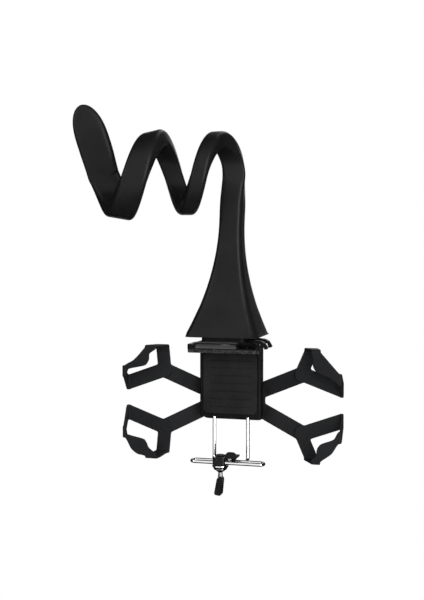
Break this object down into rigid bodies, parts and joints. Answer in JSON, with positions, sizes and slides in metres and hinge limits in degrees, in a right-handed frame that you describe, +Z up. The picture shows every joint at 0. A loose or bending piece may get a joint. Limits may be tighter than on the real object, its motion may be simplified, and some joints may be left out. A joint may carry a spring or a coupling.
{
  "type": "phone handlebar mount",
  "caption": "Bendable rubber arm that winds round a handlebar, with a quick-release foot and a phone clamp with a wire lower jaw, clamp screw and silicone corner band.",
  "frame": {"origin": "on the axis of the bar that the arm winds round, straight in front of the middle of the phone clamp", "axes": "+X along the phone's length to the viewer's right, +Y away from the viewer, +Z up; the bar's axis is turned 15.2 degrees from +X about +Z"},
  "size_m": [0.1643, 0.0794, 0.244],
  "materials": {
    "rubber_black": "matte moulded rubber",
    "core_alloy": "soft drawn wire",
    "ferrule_brass": "plain turned",
    "plastic_gloss_black": "glossy moulded",
    "plastic_matte_black": "fine matte moulded",
    "foam_grey": "speckled foam rubber",
    "silicone_black": "smooth silicone",
    "nylon_white": "natural nylon",
    "steel": "plated steel",
    "chrome_bright": "bright chrome",
    "metal_black": "gloss black plating"
  },
  "bodies": {
    "arm": {"arm_rubber": "rubber_black", "core_wires": "core_alloy", "core_ferrule": "ferrule_brass", "base_insert": "plastic_matte_black", "socket_plate": "plastic_matte_black", "socket_screws": "steel"},
    "buckle": {"buckle": "plastic_gloss_black", "pivot_nut": "steel", "pivot_screw": "steel", "pivot_washer": "nylon_white"},
    "clamp": {"clamp_body": "plastic_gloss_black", "jaw_pad": "foam_grey", "back_pad": "rubber_black", "back_cover": "plastic_matte_black", "cover_screws": "steel", "band_button": "plastic_matte_black", "corner_band": "silicone_black", "wire_bushes": "nylon_white"},
    "jaw": {"stop_bar": "plastic_matte_black", "wire_jaw": "chrome_bright", "jaw_hook": "rubber_black", "bridge_block": "plastic_matte_black", "screw_nut": "chrome_bright"},
    "pad": {"pressure_pad": "rubber_black"},
    "screw": {"clamp_screw": "chrome_bright"},
    "lever": {"thumb_lever": "metal_black", "lever_pin": "metal_black"}
  },
  "joints": [
    {"name": "buckle_slide", "type": "slide", "parent": "arm", "child": "buckle", "axis": [1, 0, 0], "range_m": [0, 0.045]},
    {"name": "clamp_swivel", "type": "hinge", "parent": "buckle", "child": "clamp", "pos_m": [0, 0.0215, -0.1053], "axis": [0, 0, 1], "range_deg": [-90, 90]},
    {"name": "jaw_slide", "type": "slide", "parent": "clamp", "child": "jaw", "axis": [0, 0, 1], "range_m": [-0.018, 0.011]},
    {"name": "pad_lift", "type": "slide", "parent": "jaw", "child": "pad", "axis": [0, 0, 1], "range_m": [-0.0017, 0.00028]},
    {"name": "screw_turn", "type": "hinge", "parent": "pad", "child": "screw", "pos_m": [-0.0051, 0.0195, -0.1803], "axis": [0, 0, 1], "range_deg": [-876, 145]},
    {"name": "lever_fold", "type": "hinge", "parent": "screw", "child": "lever", "pos_m": [-0.0051, 0.0195, -0.1917], "axis": [0, 1, 0], "range_deg": [-98, 82]}
  ],
  "couplings": [
    {"joint": "screw_turn", "follows": "pad_lift", "rad_per_m": 8976}
  ]
}
